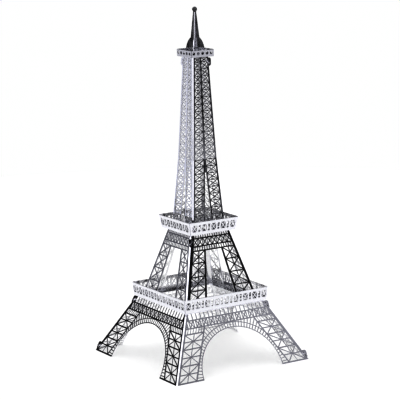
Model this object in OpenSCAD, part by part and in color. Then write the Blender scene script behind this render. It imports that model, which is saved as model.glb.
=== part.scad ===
/* [Sheet] */
// Thickness of the steel sheet that every piece is cut from
sheet_t = 0.25; // [0.22:0.01:0.3]
// Width of the flat strip along the folded corners of the base
base_fold_w = 0.8; // [0.7:0.05:0.9]
// Width of the flat strip along the folded corners of the middle section
middle_fold_w = 0.7; // [0.6:0.05:0.8]
// Width of the flat strip along the folded corners of the upper section
upper_fold_w = 0.7; // [0.6:0.05:0.8]
// Clearance between a tab and the slot that it passes through
tab_clearance = 0.05; // [0.04:0.01:0.08]

/* [Base] */
// Width of the square footprint, outside the sheet
base_w = 60; // [58:1:62]
// Width of the square on which the lower platform rests
base_top_w = 35.2; // [35:0.1:35.6]
// Height of the base, up to the underside of the lower platform
base_h = 23; // [22.8:0.1:23.4]
// Inner radius of the four arches
arch_r = 17.8; // [17.6:0.1:18]
// Number of openings in each arch ladder
arch_cells = 48; // [44:2:52]
// Distance from one crossed window of the truss band to the next
truss_pitch = 2.98; // [2.8:0.02:3]
// Distance from one post of the colonnade to the next
colonnade_pitch = 1.81; // [1.7:0.01:1.85]

/* [Middle section] */
// Width of the middle section where it stands on the lower platform
middle_w = 32.5; // [32.2:0.1:32.8]
// Width of the middle section under the middle platform
middle_top_w = 17; // [16.8:0.1:17.4]
// Height of the middle section between its two platforms
middle_h = 27.15; // [27:0.05:27.5]

/* [Upper section] */
// Width of the upper section where it stands on the middle platform
upper_w = 14.7; // [14.5:0.1:14.9]
// Width of the upper section at the slight bend in its sides
upper_bend_w = 10.55; // [10.45:0.05:10.65]
// Width of the upper section under the top platform
upper_top_w = 6.9; // [6.8:0.1:7]
// Height from the middle platform to the bend
upper_bend_h = 27.32; // [27.2:0.02:27.44]
// Height from the bend to the top platform
upper_tip_h = 38.93; // [38.8:0.01:39.2]

/* [Platforms] */
// Width of the lower platform at its fold
lower_deck_w = 37.3; // [37.2:0.1:37.6]
// Width of the square opening in the lower platform
lower_opening_w = 28; // [27.6:0.1:28.4]
// Height of the lower and middle gallery rails
gallery_h = 5.2; // [5:0.1:5.4]
// Width of the middle platform at its fold
middle_deck_w = 20.7; // [20.6:0.1:20.9]
// Width of the square opening in the middle platform
middle_opening_w = 9; // [8:0.5:10]
// Width of the top platform at its fold
top_deck_w = 10.2; // [10.1:0.1:10.3]
// Height of the top gallery rail
top_gallery_h = 2.6; // [2.5:0.1:2.7]
// Distance from one wide gallery window to the next
window_pitch = 4.3; // [4.25:0.01:4.32]

/* [Spire] */
// Height of the spire above the top platform
spire_h = 18.3; // [18:0.1:18.6]
// Height of the dome-shaped foot of the spire
dome_h = 6.8; // [6.6:0.1:7]
// Width of the dome-shaped foot of the spire
dome_w = 7.2; // [7.1:0.1:7.3]
// Radius of the round finial
finial_r = 0.9; // [0.8:0.05:1]

/* [Hidden] */

// Heights of the platform undersides, and of the surface on each one
lower_deck_z = base_h;
lower_floor_z = lower_deck_z + sheet_t;
middle_deck_z = lower_floor_z + middle_h;
middle_floor_z = middle_deck_z + sheet_t;
bend_z = middle_floor_z + upper_bend_h;
top_deck_z = bend_z + upper_tip_h;
top_floor_z = top_deck_z + sheet_t;

// Slack left between pieces that rest on each other
slack = 0.02;
// Smallest opening that is cut, in square millimetres
least_opening = 0.06;

// Bars of the lattice: half of each bar's width
chord = 0.33;
bold = 0.23;
brace = 0.14;
slim = 0.12;
thin = 0.1;

// Corner tabs, and the slotted ears that they pass through
ear_len = 3;
ear_out = 1.05;
ear_bevel = 0.45;
slot_len = 1.9;
slot_out = 0.2;
slot_in = 0.345;
tab_len = 1.7;
tab_out = 0.2;
// Turned end of each corner tab: how far it stands off the ear, and its turn
end_off = 0.05;
end_out = 0.5;
end_turn = 40;
// Distance at which a tabbed edge stops short of the corner
butt = 0.335;
lip_stop = 1.45;
lip_reach = 0.6;

// Tabs that pass through a platform
foot_tab_w = 2.2;
foot_tab_out = 0.6;
base_tab_u = 6;
middle_foot_u = 11.6;
middle_head_u = 4;
upper_foot_u = 4.4;
spire_tab_u = 2.4;

// ---- Geometry of convex outlines, all listed anticlockwise ----

function side(p, a, b) = (b.x - a.x) * (p.y - a.y) - (b.y - a.y) * (p.x - a.x);
function cut_point(p, q, a, b) =
    let (s = side(p, a, b), t = side(q, a, b)) p + (q - p) * s / (s - t);
// The part of an outline to the left of the line from a to b
function clip(pts, a, b) = len(pts) < 3 ? [] : [
    for (i = [0:len(pts) - 1])
        let (p = pts[i], q = pts[(i + 1) % len(pts)], s = side(p, a, b), t = side(q, a, b))
            each concat(s >= 0 ? [p] : [], s * t < 0 ? [cut_point(p, q, a, b)] : [])
];
function left_normal(a, b) = [a.y - b.y, b.x - a.x] / norm(b - a);
// An outline with each edge moved inwards by its own distance
function inset(pts, d, i = 0, done) =
    let (left = is_undef(done) ? pts : done)
        i == len(pts) ? left :
            let (a = pts[i], b = pts[(i + 1) % len(pts)], n = left_normal(a, b) * d[i])
                inset(pts, d, i + 1, clip(left, a + n, b + n));
function area(pts, i = 0) = len(pts) < 3 ? 0 :
    i == len(pts) ? 0 :
        let (p = pts[i], q = pts[(i + 1) % len(pts)])
            (p.x * q.y - p.y * q.x) / 2 + area(pts, i + 1);
function flipped(pts) = [for (i = [len(pts) - 1:-1:0]) [-pts[i].x, pts[i].y]];
function mix(a, b, s) = a * (1 - s) + b * s;
// A corner of a band cell: s across from line l to line r, at height v
function on_line(l, v) = l.x - l.y * v;
function at(l, r, s, v) = [mix(on_line(l, v), on_line(r, v), s), v];

module openings(list) {
    for (pts = list)
        if (area(pts) > least_opening)
            polygon(pts);
}

// ---- Cells of the lattice, between two slanting lines l and r ----
// A line is [u at v = 0, inward slope]; bars are given as half widths.

// Upright bars: n openings between heights v0 and v1
function posts(l, r, v0, v1, n, post, rail, edge) = [
    for (i = [0:n - 1])
        inset([at(l, r, i / n, v0), at(l, r, (i + 1) / n, v0),
               at(l, r, (i + 1) / n, v1), at(l, r, i / n, v1)],
              [rail, i == n - 1 ? edge : post, rail, i == 0 ? edge : post])
];
function crossing(l, r, s0, s1, v0, v1) =
    let (w0 = at(l, r, s1, v0).x - at(l, r, s0, v0).x, w1 = at(l, r, s1, v1).x - at(l, r, s0, v1).x)
        mix(at(l, r, s0, v0), at(l, r, s1, v1), w0 / (w0 + w1));
// The four openings round a pair of crossed braces
function crossed(l, r, s0, s1, v0, v1, brace, rail, edge0, edge1) =
    let (a = at(l, r, s0, v0), b = at(l, r, s1, v0), d = at(l, r, s1, v1), e = at(l, r, s0, v1),
         c = crossing(l, r, s0, s1, v0, v1)) [
        inset([a, b, c], [rail, brace, brace]),
        inset([b, d, c], [edge1, brace, brace]),
        inset([d, e, c], [rail, brace, brace]),
        inset([e, a, c], [edge0, brace, brace])
    ];
// Row of n crossed windows, each a share wide of its bay, with narrow openings between them
function crossed_row(l, r, v0, v1, n, wide, brace, rail, upright) = [
    for (i = [0:n - 1])
        each crossed(l, r, (i + 0.5 - wide / 2) / n, (i + 0.5 + wide / 2) / n, v0, v1,
            brace, rail, upright, upright),
    for (i = [1:n - 1])
        let (s0 = (i - 0.5 + wide / 2) / n, s1 = (i + 0.5 - wide / 2) / n)
            inset([at(l, r, s0, v0), at(l, r, s1, v0), at(l, r, s1, v1), at(l, r, s0, v1)],
                  [rail, upright, rail, upright])
];
// One panel braced corner to corner, with an upright and, if it has a width, a level bar
function braced(l, r, s0, s1, v0, v1, brace, mid, rail, edge0, edge1, level = 0) =
    let (a = at(l, r, s0, v0), b = at(l, r, s1, v0), d = at(l, r, s1, v1), e = at(l, r, s0, v1),
         c = crossing(l, r, s0, s1, v0, v1), foot = mix(a, b, 0.5), head = mix(e, d, 0.5),
         left = at(l, r, s0, c.y), right = at(l, r, s1, c.y))
        concat([
            inset([a, foot, c], [rail, mid, brace]),
            inset([foot, b, c], [rail, brace, mid]),
            inset([d, head, c], [rail, mid, brace]),
            inset([head, e, c], [rail, brace, mid])
        ], level > 0 ? [
            inset([b, right, c], [edge1, level, brace]),
            inset([right, d, c], [edge1, brace, level]),
            inset([e, left, c], [edge0, level, brace]),
            inset([left, a, c], [edge0, brace, level])
        ] : [
            inset([b, d, c], [edge1, brace, brace]),
            inset([e, a, c], [edge0, brace, brace])
        ]);
// The three-cornered opening next to a level bar that is thicker at its middle
function eye(a, b, c, rail, brace, swell) =
    let (p = inset([a, b, c], [rail, brace, brace]), up = c.y > a.y ? 1 : -1)
        len(p) != 3 ? p : [
            p[0], mix(p[0], p[1], 0.3), mix(p[0], p[1], 0.4) + [0, up * swell],
            mix(p[0], p[1], 0.6) + [0, up * swell], mix(p[0], p[1], 0.7), p[1], p[2]
        ];
// Column of n crossed braces with swollen level bars between them
function ladder(l, r, v0, v1, n, brace, rail, edge, swell) = [
    for (i = [0:n - 1])
        let (lo = mix(v0, v1, i / n), hi = mix(v0, v1, (i + 1) / n),
             a = at(l, r, 0, lo), b = at(l, r, 1, lo), d = at(l, r, 1, hi), e = at(l, r, 0, hi),
             c = crossing(l, r, 0, 1, lo, hi))
            each [
                eye(a, b, c, rail, brace, swell),
                eye(d, e, c, rail, brace, swell),
                inset([b, d, c], [edge, brace, brace]),
                inset([e, a, c], [edge, brace, brace])
            ]
];

// ---- Folded shells: two faces that meet along a pressed corner strip ----

function lean(w0, w1, h) = atan((w0 - w1) / 2 / h);
function slope(w0, w1, h) = sin(lean(w0, w1, h));
function slant(w0, w1, h) = h / cos(lean(w0, w1, h));
function half_corner(w0, w1, h) = acos(-pow(sin(lean(w0, w1, h)), 2)) / 2;
function fold_edge(w0, w1, h, strip) = strip / 2 / sin(half_corner(w0, w1, h));
function corner_run(w0, w1, h) = norm([(w0 - w1) / 2, (w0 - w1) / 2, h]);

// Stands a flat face on the front of a section, leaning in to w1
module face_place(w0, w1, z0, h, inner = -sheet_t, thick = sheet_t) {
    translate([0, -w0 / 2, z0])
        rotate([90 - lean(w0, w1, h), 0, 0])
            translate([0, 0, inner])
                linear_extrude(thick)
                    children();
}

// Depth at which a strip is let into the edges of the sheet, and its overlap there
strip_recess = 0.03;
strip_overlap = 0.02;

// Strip along the folded corner, starting at a distance foot along the corner
module fold_strip(w0, w1, z0, h, strip, foot) {
    run = corner_run(w0, w1, h);
    inward = fold_edge(w0, w1, h, strip) * cos(half_corner(w0, w1, h)) + strip_recess;
    reach = strip / 2 + strip_overlap;
    translate([-w0 / 2, -w0 / 2, z0])
        rotate([0, acos(h / run), 45])
            translate([inward, -reach, foot])
                cube([sheet_t, 2 * reach, run - foot - 0.1]);
}

// Lip folded inwards from a tabbed edge, to lie behind the face that it joins
module joined_lip(w0, w1, z0, h, foot) {
    run = corner_run(w0, w1, h);
    half = half_corner(w0, w1, h);
    reach = lip_stop * sin(half) + strip_overlap;
    translate([w0 / 2, -w0 / 2, z0])
        rotate([0, acos(h / run), 135])
            translate([lip_stop * cos(half) + strip_recess, -lip_reach, foot])
                cube([sheet_t, lip_reach + reach, run - foot - 0.1]);
}

// Turned ends of the tabs, on the outside of the ears that they pass through
module turned_ends(w0, w1, z0, h, heights) {
    k = slope(w0, w1, h);
    mirror([1, 1, 0])
        face_place(w0, w1, z0, h, end_off, end_out)
            for (v = heights)
                translate([w0 / 2 - k * v - sheet_t / 2, v])
                    rotate(atan(k) + end_turn)
                        square([sheet_t, tab_len], center = true);
}

// Ears or tabs on the joined edge of a face, which is its +u edge
module joined_edge(w0, k, ears, heights, stop) {
    for (v = heights) {
        u = w0 / 2 - k * v;
        lo = ear_len / 2;
        half = tab_len / 2;
        if (ears)
            polygon([
                [u - 1 + k * lo, v - lo],
                [u + max(ear_out - ear_bevel, k * lo + 0.1), v - lo],
                [u + ear_out, v - lo + ear_bevel],
                [u + ear_out, v + lo - ear_bevel],
                [u + ear_out - ear_bevel, v + lo],
                [u - 1 - k * lo, v + lo]
            ]);
        else
            polygon([
                [u - stop - 0.5 + k * half, v - half],
                [u + tab_out + k * half, v - half],
                [u + tab_out - k * half, v + half],
                [u - stop - 0.5 - k * half, v + half]
            ]);
    }
}

// Slots in the ears
module joined_slots(w0, k, heights) {
    for (v = heights) {
        u = w0 / 2 - k * v;
        lo = slot_len / 2;
        polygon([
            [u - slot_in + k * lo, v - lo],
            [u + slot_out + k * lo, v - lo],
            [u + slot_out - k * lo, v + lo],
            [u - slot_in - k * lo, v + lo]
        ]);
    }
}

// Solid outline of a face with its joined edge finished, before it is pierced.
// An eared face runs to the corner; a tabbed one stops short of it. The outline
// starts below its foot by lap, to fuse with the face under it.
module face_outline(w0, w1, h, strip, ears, heights, stop, lap = 0) {
    k = slope(w0, w1, h);
    run = slant(w0, w1, h);
    e = fold_edge(w0, w1, h, strip);
    edge = ears ? 0 : stop;
    half_foot = w0 / 2 + k * lap;
    difference() {
        union() {
            polygon([
                [-half_foot + e, -lap], [half_foot - edge, -lap],
                [w1 / 2 - edge, run], [-w1 / 2 + e, run]
            ]);
            joined_edge(w0, k, ears, heights, stop);
        }
        if (ears)
            joined_slots(w0, k, heights);
    }
}

// Tabs on the upper or lower edge of a face
module edge_tabs(places, v, out) {
    for (u = places)
        translate([u - foot_tab_w / 2, min(v, v + out)])
            square([foot_tab_w, abs(out) + 0.4]);
}

// Two faces, mirrored about the corner that they fold along
module folded_pair() {
    children();
    mirror([1, -1, 0])
        children();
}

// ---- Base ----

base_k = slope(base_w, base_top_w, base_h - slack);
base_run = slant(base_w, base_top_w, base_h - slack);
base_edge = 0.8;
base_ears = [2.3, 24.1];
// Heights on the base face of its level bars
leg_bars = [0.32, 6.5, 12.5, 18];
truss_v = 20.1;
colonnade_v = 23.1;
cornice_v = base_run - 0.2;
// Inner line of each leg: its place at the foot, and its slope
leg_line = [21.2, 0.5];
ladder_gap = 1.55;
truss_windows = 14;
colonnade_bays = 19;

// One cell of the arch ladder, from radius r0 to r1 and kept inside the leg
function arch_cell(i, r0, r1, post) =
    let (a0 = 180 * i / arch_cells, a1 = 180 * (i + 1) / arch_cells,
         wedge = [[r0 * cos(a0), r0 * sin(a0)], [r1 * cos(a0), r1 * sin(a0)],
                  [r1 * cos(a1), r1 * sin(a1)], [r0 * cos(a1), r0 * sin(a1)]],
         top = truss_v - bold, leg = leg_line.x - bold - 0.05, foot = leg_bars[0] + bold)
        clip(clip(clip(clip(inset(wedge, [post, 0, post, 0]),
            [1, top], [-1, top]),
            [leg, 0], [leg - leg_line.y * 10, 10]),
            [-leg + leg_line.y * 10, 10], [-leg, 0]),
            [-1, foot], [1, foot]);

function arch_openings() =
    let (r0 = arch_r + 2 * thin + 0.08, r1 = r0 + ladder_gap, foot_cells = 3)
        [for (i = [0:arch_cells - 1])
            let (by_foot = i < foot_cells || i >= arch_cells - foot_cells)
                each concat(
                    [arch_cell(i, r0, by_foot ? base_w : r1, brace)],
                    by_foot ? [] : [arch_cell(i, r1 + 2 * brace, base_w, brace)]
                )
        ];

function leg_openings() =
    let (l = [base_w / 2 - base_edge, base_k], r = leg_line)
        concat(
            [for (i = [0:2])
                each braced([-l.x, -l.y], [-r.x, -r.y], 0, 1, leg_bars[i], leg_bars[i + 1],
                    brace + 0.03, slim, bold, chord, bold + 0.02, brace + 0.06)],
            posts([-l.x, -l.y], [-r.x, -r.y], leg_bars[3], truss_v, 7, thin, bold, chord)
        );

// The parts of openings that lie between the sloping edges of the face
function between_edges(list) =
    let (foot = base_w / 2 - base_edge - 1.15 * chord, rise = 30, head = foot - base_k * rise)
        [for (pts = list) clip(clip(pts, [foot, 0], [head, rise]), [-head, rise], [-foot, 0])];

module base_openings() {
    truss_half = truss_windows * truss_pitch / 2;
    colonnade_half = colonnade_bays * colonnade_pitch / 2;
    openings(between_edges(crossed_row([-truss_half, 0], [truss_half, 0], truss_v, colonnade_v,
        truss_windows, 0.66, brace + 0.03, bold, brace + 0.03)));
    openings(between_edges(posts([-colonnade_half, 0], [colonnade_half, 0], colonnade_v, cornice_v,
        colonnade_bays, brace + 0.03, bold, brace)));
    openings(arch_openings());
    openings(leg_openings());
    openings([for (pts = leg_openings()) flipped(pts)]);
}

module base_face(ears) {
    difference() {
        union() {
            face_outline(base_w, base_top_w, base_h - slack, base_fold_w, ears, base_ears, butt);
            edge_tabs([-base_tab_u, base_tab_u], base_run - 0.4, foot_tab_out + 0.4);
        }
        circle(arch_r, $fn = 96);
        base_openings();
    }
}

module base_shell(ears) {
    difference() {
        union() {
            folded_pair() {
                face_place(base_w, base_top_w, 0, base_h - slack)
                    base_face(ears);
                if (!ears)
                    turned_ends(base_w, base_top_w, 0, base_h - slack, base_ears);
            }
            fold_strip(base_w, base_top_w, 0, base_h - slack, base_fold_w, -0.5);
        }
        translate([-base_w, -base_w, -5])
            cube([2 * base_w, 2 * base_w, 5]);
    }
}

module base_shell_front() {
    color("gainsboro")
        base_shell(true);
}

module base_shell_back() {
    color("silver")
        rotate(180)
            base_shell(false);
}

// ---- Middle section ----

middle_z = lower_floor_z + 0.09;
middle_net_h = middle_deck_z - middle_z - slack;
middle_k = slope(middle_w, middle_top_w, middle_net_h);
middle_run = slant(middle_w, middle_top_w, middle_net_h);
middle_edge = 0.85;
middle_tab_edge = 1.75;
middle_ears = [25];
middle_bars = [0.3, 1.7, 6.85, 12, 17.1, 21.7];
middle_leg_line = [7.58, 0.172];
middle_frieze_v = 23.4;
middle_head_v = 26.4;

// One leg of a face, whose outer bar starts at a distance edge from the corner
function middle_leg(edge) =
    let (l = [-middle_w / 2 + edge, -middle_k], r = [-middle_leg_line.x, -middle_leg_line.y])
        concat(
            posts(l, r, middle_bars[0], middle_bars[1], 4, brace, bold, chord),
            [for (i = [1:4])
                each braced(l, r, 0, 1, middle_bars[i], middle_bars[i + 1],
                    brace + 0.02, thin + 0.02, bold - 0.03, chord, chord - 0.02)]
        );

module middle_openings(ears) {
    joined = ears ? middle_edge : middle_tab_edge;
    l = [-middle_w / 2 + middle_edge, -middle_k];
    r = [middle_w / 2 - joined, middle_k];
    x_count = 8;
    v0 = middle_frieze_v;
    v1 = middle_head_v;
    openings(posts(l, r, middle_bars[5], v0, 17, brace, bold - 0.03, chord));
    for (i = [0:x_count - 1])
        openings(crossed(l, r, i / x_count, (i + 1) / x_count, v0, v1, brace, bold,
            i == 0 ? chord : thin, i == x_count - 1 ? chord : thin));
    openings(posts(l, r, v1, middle_run - 0.25, 15, brace, bold, chord));
    openings(middle_leg(middle_edge));
    openings([for (pts = middle_leg(joined)) flipped(pts)]);
}

// The tall window between the two legs of a face
module middle_window() {
    inner = middle_leg_line.x - chord;
    head = middle_bars[5] - bold;
    polygon([
        [-inner, -1], [inner, -1],
        [inner - middle_leg_line.y * head, head], [-inner + middle_leg_line.y * head, head]
    ]);
}

module middle_face(ears) {
    difference() {
        union() {
            face_outline(middle_w, middle_top_w, middle_net_h, middle_fold_w, ears, middle_ears, lip_stop);
            edge_tabs([-middle_head_u, middle_head_u], middle_run - 0.4, foot_tab_out + 0.4);
            edge_tabs([-middle_foot_u, middle_foot_u], 0, -foot_tab_out);
        }
        middle_window();
        middle_openings(ears);
    }
}

module middle_shell(ears) {
    folded_pair() {
        face_place(middle_w, middle_top_w, middle_z, middle_net_h)
            middle_face(ears);
        if (!ears) {
            joined_lip(middle_w, middle_top_w, middle_z, middle_net_h, 0.6);
            turned_ends(middle_w, middle_top_w, middle_z, middle_net_h, middle_ears);
        }
    }
    fold_strip(middle_w, middle_top_w, middle_z, middle_net_h, middle_fold_w, 0.3);
}

module middle_shell_right() {
    color("lightgray")
        rotate(90)
            middle_shell(true);
}

module middle_shell_left() {
    color("silver")
        rotate(-90)
            middle_shell(false);
}

// ---- Upper section: each face bends slightly at one of its level bars ----

upper_z = middle_floor_z + 0.04;
lower_part_h = bend_z - upper_z;
tip_part_h = top_deck_z - bend_z - slack;
lower_part_k = slope(upper_w, upper_bend_w, lower_part_h);
lower_part_run = slant(upper_w, upper_bend_w, lower_part_h);
tip_part_k = slope(upper_bend_w, upper_top_w, tip_part_h);
tip_part_run = slant(upper_bend_w, upper_top_w, tip_part_h);
upper_edge = 0.72;
upper_ear_edge = 0.33;
upper_tab_edge = 0.6;
upper_chord = 0.27;
upper_ears = [tip_part_run - 2.1];
// The ladders: height of the lowest level bar, and of the last one under the top
lower_foot_v = 0.88;
tip_head_v = 37;
lower_cells = 10;
tip_cells = 14;
// Inner line of each column below the bend, and its place at the bend
column_line = [2.16, 0.0715];
column_bend_u = column_line.x - column_line.y * lower_part_run;
column_gap_v = 22.3;
bend_lap = 0.04;

// Openings of one column, whose outer bar starts at a distance edge from the corner
function lower_column(edge) =
    ladder([-upper_w / 2 + edge, -lower_part_k], [-column_line.x, -column_line.y],
        lower_foot_v, lower_part_run, lower_cells, slim, thin, upper_chord, 0.09);
function tip_column(edge) =
    let (l = [-upper_bend_w / 2 + edge, -tip_part_k],
         r = [-column_bend_u, -column_bend_u / tip_part_run])
        concat(
            ladder(l, r, 0, tip_head_v, tip_cells, slim, thin, upper_chord, 0.08),
            ladder(l, r, tip_head_v, tip_part_run - 0.25, 1, slim, thin, upper_chord, 0.08)
        );

module upper_lower_face(ears) {
    joined = ears ? upper_ear_edge : upper_tab_edge;
    gap = column_line.x - upper_chord;
    difference() {
        union() {
            face_outline(upper_w, upper_bend_w, lower_part_h, upper_fold_w, ears, [], butt);
            edge_tabs([-upper_foot_u, upper_foot_u], 0, -foot_tab_out);
        }
        openings(lower_column(upper_edge));
        openings([for (pts = lower_column(joined)) flipped(pts)]);
        polygon([
            [-gap + 0.02, 0.45], [gap - 0.02, 0.45],
            [gap - column_line.y * column_gap_v, column_gap_v],
            [-gap + column_line.y * column_gap_v, column_gap_v]
        ]);
    }
}

module upper_tip_face(ears) {
    joined = ears ? upper_ear_edge : upper_tab_edge;
    difference() {
        union() {
            face_outline(upper_bend_w, upper_top_w, tip_part_h, upper_fold_w, ears, upper_ears, butt,
                bend_lap);
            edge_tabs([0], tip_part_run - 0.4, foot_tab_out + 0.4);
        }
        openings(tip_column(upper_edge));
        openings([for (pts = tip_column(joined)) flipped(pts)]);
    }
}

module upper_shell(ears) {
    folded_pair() {
        face_place(upper_w, upper_bend_w, upper_z, lower_part_h)
            upper_lower_face(ears);
        face_place(upper_bend_w, upper_top_w, bend_z, tip_part_h)
            upper_tip_face(ears);
        if (!ears)
            turned_ends(upper_bend_w, upper_top_w, bend_z, tip_part_h, upper_ears);
    }
    fold_strip(upper_w, upper_bend_w, upper_z, lower_part_h, upper_fold_w, 0.1);
    fold_strip(upper_bend_w, upper_top_w, bend_z, tip_part_h, upper_fold_w, -0.2);
}

module upper_shell_front() {
    color("lightgray")
        upper_shell(true);
}

module upper_shell_back() {
    color("silver")
        rotate(180)
            upper_shell(false);
}

// ---- Platforms: a square deck with four rails folded up from it ----

module four_sides() {
    for (a = [0:90:270])
        rotate(a)
            children();
}

// Slots in a deck for tabs that lean through it at face height z
module deck_slots(w0, w1, z0, h, z, places) {
    k = tan(lean(w0, w1, h));
    across = sheet_t / cos(lean(w0, w1, h));
    outer = -w0 / 2 + k * (z - z0) - tab_clearance;
    width = across + k * sheet_t + 2 * tab_clearance;
    for (u = places)
        translate([u - foot_tab_w / 2 - tab_clearance, outer])
            square([foot_tab_w + 2 * tab_clearance, width]);
}

// A rail outline that stops short of its neighbours at both ends
module rail_outline(w, flare, h) {
    run = slant(w, w + 2 * flare, h);
    seam = sheet_t + 0.03;
    polygon([
        [-w / 2 + seam, 0], [w / 2 - seam, 0],
        [w / 2 + flare - seam, run], [-w / 2 - flare + seam, run]
    ]);
}

// Wide windows crossed by braces, with narrow divided windows between them
module gallery_windows(count, v0, v1) {
    wide = 1.05;
    narrow = 0.42;
    sill = v0 + 0.75;
    mullion = 0.3;
    for (i = [0:count - 1]) {
        u = (i - (count - 1) / 2) * window_pitch;
        l = [u - wide, 0];
        r = [u + wide, 0];
        c = crossing(l, r, 0, 1, v0, v1);
        openings([
            inset([[l.x, v0], [r.x, v0], c], [0, brace, brace]),
            inset([[r.x, v0], [r.x, v1], c], [0, brace, brace]),
            inset([[r.x, v1], [l.x, v1], c], [0, brace, brace]),
            inset([[l.x, v1], [l.x, v0], c], [0, brace, brace])
        ]);
        if (i > 0)
            translate([u - window_pitch / 2 - narrow, 0]) {
                translate([0, v0])
                    square([2 * narrow, sill - v0]);
                translate([0, sill + mullion])
                    square([2 * narrow, v1 - sill - mullion]);
            }
    }
}

module platform(w, flare, h, z) {
    translate([0, 0, z])
        linear_extrude(sheet_t)
            difference() {
                square(w - sheet_t, center = true);
                children(0);
            }
    four_sides()
        face_place(w, w + 2 * flare, z, h)
            difference() {
                rail_outline(w, flare, h);
                children(1);
            }
}

module lower_platform() {
    color("white")
        platform(lower_deck_w, 0.4, gallery_h, lower_deck_z) {
            union() {
                square(lower_opening_w, center = true);
                four_sides() {
                    deck_slots(base_w, base_top_w, 0, base_h - slack, lower_deck_z,
                        [-base_tab_u, base_tab_u]);
                    deck_slots(middle_w, middle_top_w, middle_z, middle_net_h, lower_deck_z,
                        [-middle_foot_u, middle_foot_u]);
                }
            }
            gallery_windows(9, 1.4, 4.1);
        }
}

module middle_platform() {
    color("white")
        platform(middle_deck_w, 0.85, gallery_h - 0.2, middle_deck_z) {
            union() {
                square(middle_opening_w, center = true);
                four_sides() {
                    deck_slots(middle_w, middle_top_w, middle_z, middle_net_h, middle_deck_z,
                        [-middle_head_u, middle_head_u]);
                    deck_slots(upper_w, upper_bend_w, upper_z, lower_part_h, middle_deck_z,
                        [-upper_foot_u, upper_foot_u]);
                }
            }
            gallery_windows(5, 1.25, 3.95);
        }
}

module top_platform() {
    hole_r = 0.58;
    hole_pitch = 1.95;
    color("darkgray")
        platform(top_deck_w, 0.07, top_gallery_h, top_deck_z) {
            union() {
                four_sides()
                    deck_slots(upper_bend_w, upper_top_w, bend_z, tip_part_h, top_deck_z, [0]);
                for (a = [45, -45], s = [-1, 1])
                    rotate(a)
                        translate([s * spire_tab_u, 0])
                            square([1.2 + 2 * tab_clearance, sheet_t + 2 * tab_clearance], center = true);
            }
            for (i = [-2:2])
                translate([i * hole_pitch, 1.45])
                    circle(hole_r, $fn = 24);
        }
}

// ---- Spire: two plates on the diagonals, halved together ----

spire_lap_v = 7.5;
neck_half = 1.6;
point_half = 0.5;
finial_v = spire_h - finial_r;
neck_v = dome_h;
dome_sill = 1.3;

// Right-hand edge of the spire, from its foot to the top of its taper
function spire_edge(top_v) =
    let (rise = neck_v - dome_sill, full = rise / sin(acos(neck_half / (dome_w / 2))), steps = 12)
        concat(
            [[dome_w / 2, 0]],
            [for (i = [0:steps])
                let (a = acos(neck_half / (dome_w / 2)) * i / steps)
                    [dome_w / 2 * cos(a), dome_sill + full * sin(a)]],
            [[point_half, top_v]]
        );

module spire_outline(top_v) {
    edge = spire_edge(top_v);
    union() {
        polygon(concat(edge, flipped(edge)));
        for (s = [-1, 1])
            translate([s * spire_tab_u - 0.6, -foot_tab_out])
                square([1.2, foot_tab_out + 0.4]);
    }
}

module spire_plate(turn) {
    translate([0, 0, top_floor_z + slack])
        rotate([90, 0, turn])
            translate([0, 0, -sheet_t / 2])
                linear_extrude(sheet_t)
                    children();
}

module spire_main_plate() {
    slit = sheet_t + 2 * tab_clearance;
    color("dimgray")
        spire_plate(-45)
            difference() {
                union() {
                    spire_outline(finial_v - 0.5);
                    translate([0, finial_v])
                        circle(finial_r, $fn = 48);
                }
                translate([-slit / 2, -1])
                    square([slit, spire_lap_v + 1]);
            }
}

module spire_cross_plate() {
    slit = sheet_t + 2 * tab_clearance;
    top_v = finial_v - finial_r - 0.2;
    color("dimgray")
        spire_plate(45)
            difference() {
                spire_outline(top_v);
                translate([-slit / 2, spire_lap_v + slack])
                    square([slit, spire_h]);
            }
}

base_shell_front();
base_shell_back();
lower_platform();
middle_shell_right();
middle_shell_left();
middle_platform();
upper_shell_front();
upper_shell_back();
top_platform();
spire_main_plate();
spire_cross_plate();
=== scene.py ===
"""Looks for a miniature lattice tower folded from polished sheet steel."""

import math

import bpy
from mathutils import Matrix, Vector


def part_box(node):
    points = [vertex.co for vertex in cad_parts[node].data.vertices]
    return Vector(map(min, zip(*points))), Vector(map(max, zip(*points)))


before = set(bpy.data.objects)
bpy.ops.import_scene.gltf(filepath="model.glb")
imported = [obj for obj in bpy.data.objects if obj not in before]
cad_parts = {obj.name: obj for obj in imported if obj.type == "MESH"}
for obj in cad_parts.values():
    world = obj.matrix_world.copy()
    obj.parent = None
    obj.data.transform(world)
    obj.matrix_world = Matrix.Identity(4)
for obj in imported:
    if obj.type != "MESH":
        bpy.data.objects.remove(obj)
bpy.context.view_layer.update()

# ---- Camera: place round the tower's axis, in degrees and metres ----
CAMERA_AZIMUTH = -32.66
CAMERA_ELEVATION = 11.4
CAMERA_DISTANCE = 0.7035
CAMERA_ROLL = -1.04
CAMERA_AIM = Vector((0, 0, 0.0614))
CAMERA_LENS = 165.06
CAMERA_SENSOR = 36
CAMERA_SHIFT = 0.00505

# Display tones follow the light evenly, which keeps bars thinner than a pixel crisp
VIEW_GAMMA = 0.4545

# ---- Studio ----
BACKDROP = (1, 1, 1)
# The floor is a softly lit round table: its own glow, and how much of the light it scatters
FLOOR_RADIUS = 0.40
FLOOR_SIDES = 128
FLOOR_GLOW = 0.58
FLOOR_COLOUR = (0.4, 0.4, 0.4)
# A broad lamp above, to the right and behind, which the steel doesn't reflect
LAMP_PLACE = (0.3, 0.15, 0.6)
LAMP_WIDTH = 1.4
LAMP_POWER = 7.5

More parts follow.
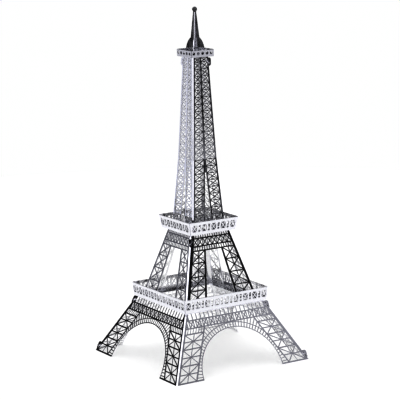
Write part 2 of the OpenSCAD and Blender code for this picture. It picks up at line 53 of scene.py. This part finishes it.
# What the polished steel reflects: dark surroundings, and cards. Each card has its azimuth, half
# width in degrees (full, end), heights as sines (start, full, full, end), brightness and tint.
SURROUNDINGS = (0.04, 0.04, 0.04)
CARDS = [
    # card at the left front, which the folded corners reflect; the spire reflects what is under it
    (-57.3, (28, 50), (-0.085, -0.045, 0.32, 0.40), 1.12, (1, 1, 1)),
    # its upper part: a narrow bright strip for the corners of the base, in a dimmer surround
    (-57.3, (6, 14), (0.32, 0.40, 0.97, 1.0), 0.67, (1, 1, 1)),
    (-57.3, (28, 50), (0.32, 0.40, 0.97, 1.0), 0.45, (1, 1, 1)),
    # low lavender card behind on the left, for the upper section
    (-146.5, (25, 55), (-0.142, -0.125, -0.06, 0.03), 0.9, (0.94, 0.95, 1.0)),
    # its dim upper part, for the middle section
    (-146.5, (25, 55), (-0.06, 0.03, 0.13, 0.20), 0.28, (0.94, 0.95, 1.0)),
    # high grey cards at the right front, for the base, brighter towards the right
    (40.5, (20, 45), (0.42, 0.49, 0.75, 0.9), 0.36, (0.97, 0.97, 1)),
    (80, (36, 44), (0.42, 0.49, 0.75, 0.9), 0.30, (0.96, 0.96, 1)),
    # low band at the right front, which the far rails of the middle platform reflect
    (33, (40, 60), (0.0, 0.03, 0.12, 0.16), 0.8, (0.98, 0.98, 1)),
    # edges of the table, which the top gallery and the far rails of the lower platform reflect
    (33, (60, 80), (-0.9, -0.7, -0.105, -0.09), 0.8, (0.97, 0.97, 1)),
    (-146.5, (45, 60), (-0.9, -0.7, -0.145, -0.13), 0.8, (0.97, 0.97, 1)),
    # large card overhead, over the back and the left
    (-125, (70, 85), (0.42, 0.48, 1.0, 1.1), 0.6, (1, 1, 1)),
]

# ---- Steel ----
# Underside of each deck, in metres
LOWER_DECK, MIDDLE_DECK, TOP_DECK = (
    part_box(node)[0].z for node in ("lower_platform", "middle_platform", "top_platform"))

# The flat faces of each kind of piece: lines from foot to head, as half width and height in
# metres, which the outer faces follow on all four sides, and the deck's underside if it has one
BASE = ([((0.0300, 0.0), (0.0176, LOWER_DECK))], None)
MIDDLE = ([((0.01625, 0.02334), (0.0085, MIDDLE_DECK))], None)
UPPER = ([((0.00735, 0.05069), (0.005275, 0.07797)), ((0.005275, 0.07797), (0.00345, TOP_DECK))], None)
LOWER_GALLERY = ([((0.01865, LOWER_DECK), (0.01905, LOWER_DECK + 0.0052))], LOWER_DECK)
MIDDLE_GALLERY = ([((0.01035, MIDDLE_DECK), (0.0112, MIDDLE_DECK + 0.0050))], MIDDLE_DECK)
TOP_GALLERY = ([((0.00510, TOP_DECK), (0.00517, TOP_DECK + 0.0026))], TOP_DECK)
SPIRE = ([], None)
# Depth within which a surface belongs to the flat face, a little more than the sheet
SHEET_DEPTH = 0.0003
# How squarely a surface faces along an axis where the cut edge ends and the flat face begins
EDGE_FACING, FLAT_FACING = 0.55, 0.7
# A surface looks inwards if its place and its normal multiply to less than this
INWARD_LIMIT = -0.0001

# Directions in which sheets were rolled, as a stretch of the noise: upright and along X
UPRIGHT = (1, 1, 0.1)
LEVEL = (0.1, 1, 1)

# Each piece: its flat faces, tint, roughness and rolling direction
PIECES = {
    "base_shell_front": (BASE, (0.86, 0.86, 0.91), 0.13, UPRIGHT),
    "base_shell_back": (BASE, (0.84, 0.84, 0.89), 0.14, UPRIGHT),
    "lower_platform": (LOWER_GALLERY, (0.87, 0.87, 0.90), 0.13, LEVEL),
    "middle_shell_right": (MIDDLE, (0.86, 0.86, 0.91), 0.13, UPRIGHT),
    "middle_shell_left": (MIDDLE, (0.86, 0.86, 0.91), 0.13, UPRIGHT),
    "middle_platform": (MIDDLE_GALLERY, (0.87, 0.87, 0.90), 0.13, LEVEL),
    "upper_shell_front": (UPPER, (0.86, 0.86, 0.91), 0.12, UPRIGHT),
    "upper_shell_back": (UPPER, (0.86, 0.86, 0.91), 0.13, UPRIGHT),
    "top_platform": (TOP_GALLERY, (0.84, 0.84, 0.87), 0.15, LEVEL),
    "spire_main_plate": (SPIRE, (0.86, 0.86, 0.90), 0.13, UPRIGHT),
    "spire_cross_plate": (SPIRE, (0.86, 0.86, 0.90), 0.13, UPRIGHT),
}
# Cut edges are light and matt, and inward faces are the slightly duller back of the sheet, with a
# lighter tint than the outer faces that is painted light inside the tower
CUT_EDGE_TINT = (0.95, 0.95, 0.97)
CUT_EDGE_ROUGHNESS = 0.4
BACK_PAINTED_LIGHT_TINT = (0.96, 0.96, 0.97)
BACK_ROUGHNESS = 0.2

# Fineness of each pattern in the steel, as noise scales
GRAIN_SCALE = 9000
STREAK_SCALE = 1500
SMUDGE_SCALE = 260
DENT_SCALE = 110
# How far streaks and smudges change the roughness and the tone
STREAK_ROUGHNESS = 0.16
SMUDGE_ROUGHNESS = 0.12
STREAK_TONE = 0.10
SMUDGE_TONE = 0.10
# Relief, in metres
DENT_DEPTH, DENT_STRENGTH = 0.0001, 0.35
GRAIN_DEPTH, GRAIN_STRENGTH = 0.000005, 0.3


# ---- Node helpers ----

def add(tree, kind, inputs=(), **settings):
    """A shader node, with its settings and input values or links."""
    node = tree.nodes.new(kind)
    for name, value in settings.items():
        setattr(node, name, value)
    for key, value in dict(inputs).items():
        if isinstance(value, bpy.types.NodeSocket):
            tree.links.new(value, node.inputs[key])
        else:
            node.inputs[key].default_value = value
    return node


def calc(tree, operation, *values):
    return add(tree, "ShaderNodeMath", dict(enumerate(values)), operation=operation).outputs[0]


def calc_vector(tree, operation, *values):
    """A vector, from an operation on two vectors."""
    return add(tree, "ShaderNodeVectorMath", dict(enumerate(values)), operation=operation).outputs[0]


def scaled(tree, vector, amount):
    return add(tree, "ShaderNodeVectorMath", {0: vector, "Scale": amount}, operation="SCALE").outputs[0]


def blend_values(tree, amount, first, second):
    return add(tree, "ShaderNodeMix", {0: amount, 2: first, 3: second}).outputs[0]


def blend_colours(tree, amount, first, second):
    return add(tree, "ShaderNodeMix", {0: amount, 6: first, 7: second}, data_type="RGBA").outputs[2]


def ramp_between(tree, value, low, high):
    """0 below low, 1 above high, smooth between them."""
    node = add(tree, "ShaderNodeMapRange", {"Value": value, "From Min": low, "From Max": high},
               interpolation_type="SMOOTHSTEP")
    return node.outputs["Result"]


def window(tree, value, edges):
    """1 inside a band of values, falling smoothly to 0 outside it: (start, full, full, end)."""
    rise = ramp_between(tree, value, edges[0], edges[1])
    fall = ramp_between(tree, value, edges[3], edges[2])
    return calc(tree, "MULTIPLY", rise, fall)


# ---- Camera and studio ----

def toward(azimuth, elevation=0):
    """Unit vector from the tower towards an azimuth (0 is -Y, 90 is +X) and elevation."""
    a, e = math.radians(azimuth), math.radians(elevation)
    return Vector((math.sin(a) * math.cos(e), -math.cos(a) * math.cos(e), math.sin(e)))


def make_camera():
    data = bpy.data.cameras.new("camera")
    data.sensor_width = CAMERA_SENSOR
    data.lens = CAMERA_LENS
    data.shift_x = CAMERA_SHIFT
    data.clip_start, data.clip_end = 0.01, 20
    camera = bpy.data.objects.new("camera", data)
    bpy.context.scene.collection.objects.link(camera)
    back = toward(CAMERA_AZIMUTH, CAMERA_ELEVATION)
    camera.location = CAMERA_AIM + back * CAMERA_DISTANCE
    turn = (-back).to_track_quat("-Z", "Y").to_matrix()
    roll = Matrix.Rotation(math.radians(CAMERA_ROLL), 3, "Z")
    camera.rotation_euler = (turn @ roll).to_euler()
    bpy.context.scene.camera = camera


def card_light(tree, level, height, card):
    """Light from one card, for a direction with the given level part and height."""
    azimuth, (full, end), heights, brightness, tint = card
    facing = add(tree, "ShaderNodeVectorMath", {0: level, 1: toward(azimuth)},
                 operation="DOT_PRODUCT").outputs["Value"]
    across = ramp_between(tree, facing, math.cos(math.radians(end)), math.cos(math.radians(full)))
    amount = calc(tree, "MULTIPLY", across, window(tree, height, heights))
    return scaled(tree, [c * brightness for c in tint], amount)


def make_studio():
    """A white backdrop for the camera, and the cards for everything else."""
    world = bpy.data.worlds.new("studio")
    bpy.context.scene.world = world
    world.use_nodes = True
    tree = world.node_tree
    tree.nodes.clear()
    direction = add(tree, "ShaderNodeTexCoord").outputs["Generated"]
    level = calc_vector(tree, "NORMALIZE", calc_vector(tree, "MULTIPLY", direction, (1, 1, 0)))
    height = add(tree, "ShaderNodeSeparateXYZ", {0: direction}).outputs["Z"]
    light = SURROUNDINGS
    for card in CARDS:
        light = calc_vector(tree, "ADD", light, card_light(tree, level, height, card))
    studio = add(tree, "ShaderNodeBackground", {"Color": light}).outputs[0]
    backdrop = add(tree, "ShaderNodeBackground", {"Color": (*BACKDROP, 1)}).outputs[0]
    seen = add(tree, "ShaderNodeLightPath").outputs["Is Camera Ray"]
    mix = add(tree, "ShaderNodeMixShader", {0: seen, 1: studio, 2: backdrop})
    add(tree, "ShaderNodeOutputWorld", {"Surface": mix.outputs[0]})


def make_lamp():
    data = bpy.data.lights.new("lamp", "AREA")
    data.shape = "DISK"
    data.size = LAMP_WIDTH
    data.energy = LAMP_POWER
    lamp = bpy.data.objects.new("lamp", data)
    lamp.location = LAMP_PLACE
    lamp.visible_camera = False
    lamp.visible_glossy = False
    bpy.context.scene.collection.objects.link(lamp)


def make_floor():
    mesh = bpy.data.meshes.new("floor")
    turns = [2 * math.pi * i / FLOOR_SIDES for i in range(FLOOR_SIDES)]
    rim = [(FLOOR_RADIUS * math.cos(turn), FLOOR_RADIUS * math.sin(turn), 0) for turn in turns]
    mesh.from_pydata(rim, [], [list(range(FLOOR_SIDES))])
    floor = bpy.data.objects.new("floor", mesh)
    bpy.context.scene.collection.objects.link(floor)
    material = bpy.data.materials.new("floor")
    material.use_nodes = True
    shader = material.node_tree.nodes["Principled BSDF"]
    shader.inputs["Base Color"].default_value = (*FLOOR_COLOUR, 1)
    shader.inputs["Roughness"].default_value = 1.0
    shader.inputs["Specular IOR Level"].default_value = 0.0
    shader.inputs["Emission Color"].default_value = (1, 1, 1, 1)
    shader.inputs["Emission Strength"].default_value = FLOOR_GLOW
    mesh.materials.append(material)


# ---- Steel ----

def outer_reach(tree, height, lines):
    """Distance from the axis beyond which a surface at this height is on an outer face."""
    reach = None
    for (foot_half, foot_z), (head_half, head_z) in lines:
        taper = (foot_half - head_half) / (head_z - foot_z)
        start = foot_half + taper * foot_z - SHEET_DEPTH
        line = calc(tree, "MULTIPLY_ADD", height, -taper, start)
        reach = line if reach is None else calc(tree, "MAXIMUM", reach, line)
    return reach


def sheet_masks(tree, coords, lines, deck):
    """Two masks: 1 on the cut edges of the sheet, and 1 on faces that look inwards."""
    place = add(tree, "ShaderNodeSeparateXYZ", {0: coords["Object"]}).outputs
    normal = add(tree, "ShaderNodeSeparateXYZ", {0: coords["Normal"]}).outputs
    facing = [calc(tree, "ABSOLUTE", normal[i]) for i in range(3)]
    # Faces on the diagonals: the folded corners and the spire
    flat = calc(tree, "MULTIPLY", calc(tree, "MULTIPLY", facing[0], facing[1]), 2.0)
    if lines:
        reach = outer_reach(tree, place[2], lines)
        for i in range(2):
            beyond = calc(tree, "GREATER_THAN", calc(tree, "ABSOLUTE", place[i]), reach)
            flat = calc(tree, "MAXIMUM", flat, calc(tree, "MULTIPLY", beyond, facing[i]))
    if deck is not None:
        below = calc(tree, "LESS_THAN", place[2], deck + SHEET_DEPTH)
        flat = calc(tree, "MAXIMUM", flat, calc(tree, "MULTIPLY", below, facing[2]))
    edge = calc(tree, "SUBTRACT", 1.0, ramp_between(tree, flat, EDGE_FACING, FLAT_FACING))
    outward = calc(tree, "ADD", *[calc(tree, "MULTIPLY", place[i], normal[i]) for i in range(2)])
    return edge, calc(tree, "LESS_THAN", outward, INWARD_LIMIT)


def noise(tree, place, scale, detail, stretch=(1, 1, 1)):
    """Noise about 0, stretched along one axis if asked."""
    mapped = add(tree, "ShaderNodeMapping", {"Vector": place, "Scale": stretch}).outputs[0]
    node = add(tree, "ShaderNodeTexNoise", {"Vector": mapped, "Scale": scale, "Detail": detail})
    return calc(tree, "SUBTRACT", node.outputs[0], 0.5)


def make_steel(name, flats, tint, roughness, rolled):
    """Polished rolled sheet: streaks along the rolling, soft dents, smudges and matt cut edges."""
    material = bpy.data.materials.new(name)
    material.use_nodes = True
    tree = material.node_tree
    tree.nodes.clear()
    coords = add(tree, "ShaderNodeTexCoord").outputs
    place = coords["Object"]
    edge, inner = sheet_masks(tree, coords, *flats)
    grain = noise(tree, place, GRAIN_SCALE, 3, rolled)
    streak = noise(tree, place, STREAK_SCALE, 3, rolled)
    smudge = noise(tree, place, SMUDGE_SCALE, 4)
    dent = noise(tree, place, DENT_SCALE, 1)

    # Roughness: polished faces with streaks and smudges, duller backs and matt cut edges
    rough = blend_values(tree, inner, roughness, BACK_ROUGHNESS)
    rough = calc(tree, "MULTIPLY_ADD", streak, STREAK_ROUGHNESS, rough)
    rough = calc(tree, "MULTIPLY_ADD", smudge, SMUDGE_ROUGHNESS, rough)
    rough = blend_values(tree, edge, rough, CUT_EDGE_ROUGHNESS)

    # Colour: slightly streaked and smudged, light at the cut, and lighter on inward faces as painted
    # light inside the tower
    tone = calc(tree, "MULTIPLY_ADD", streak, STREAK_TONE, 1.0)
    tone = calc(tree, "MULTIPLY_ADD", smudge, SMUDGE_TONE, tone)
    colour = scaled(tree, blend_colours(tree, inner, (*tint, 1), (*BACK_PAINTED_LIGHT_TINT, 1)), tone)
    colour = blend_colours(tree, edge, colour, (*CUT_EDGE_TINT, 1))

    # Relief: soft dents from folding, then the grain of the rolling
    dented = add(tree, "ShaderNodeBump", {
        "Height": dent, "Distance": DENT_DEPTH, "Strength": DENT_STRENGTH}).outputs[0]
    grained = add(tree, "ShaderNodeBump", {
        "Height": grain, "Distance": GRAIN_DEPTH, "Strength": GRAIN_STRENGTH,
        "Normal": dented}).outputs[0]
    shader = add(tree, "ShaderNodeBsdfPrincipled", {
        "Base Color": colour, "Metallic": 1.0, "Roughness": rough, "Normal": grained})
    add(tree, "ShaderNodeOutputMaterial", {"Surface": shader.outputs[0]})
    return material


def dress_nodes():
    for name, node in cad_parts.items():
        steel = make_steel(f"{name}_steel", *PIECES[name])
        for slot in node.material_slots:
            slot.material = steel


def make_scene():
    view = bpy.context.scene.view_settings
    view.view_transform = "Standard"
    view.gamma = VIEW_GAMMA
    make_camera()
    make_studio()
    make_lamp()
    make_floor()
    dress_nodes()


make_scene()
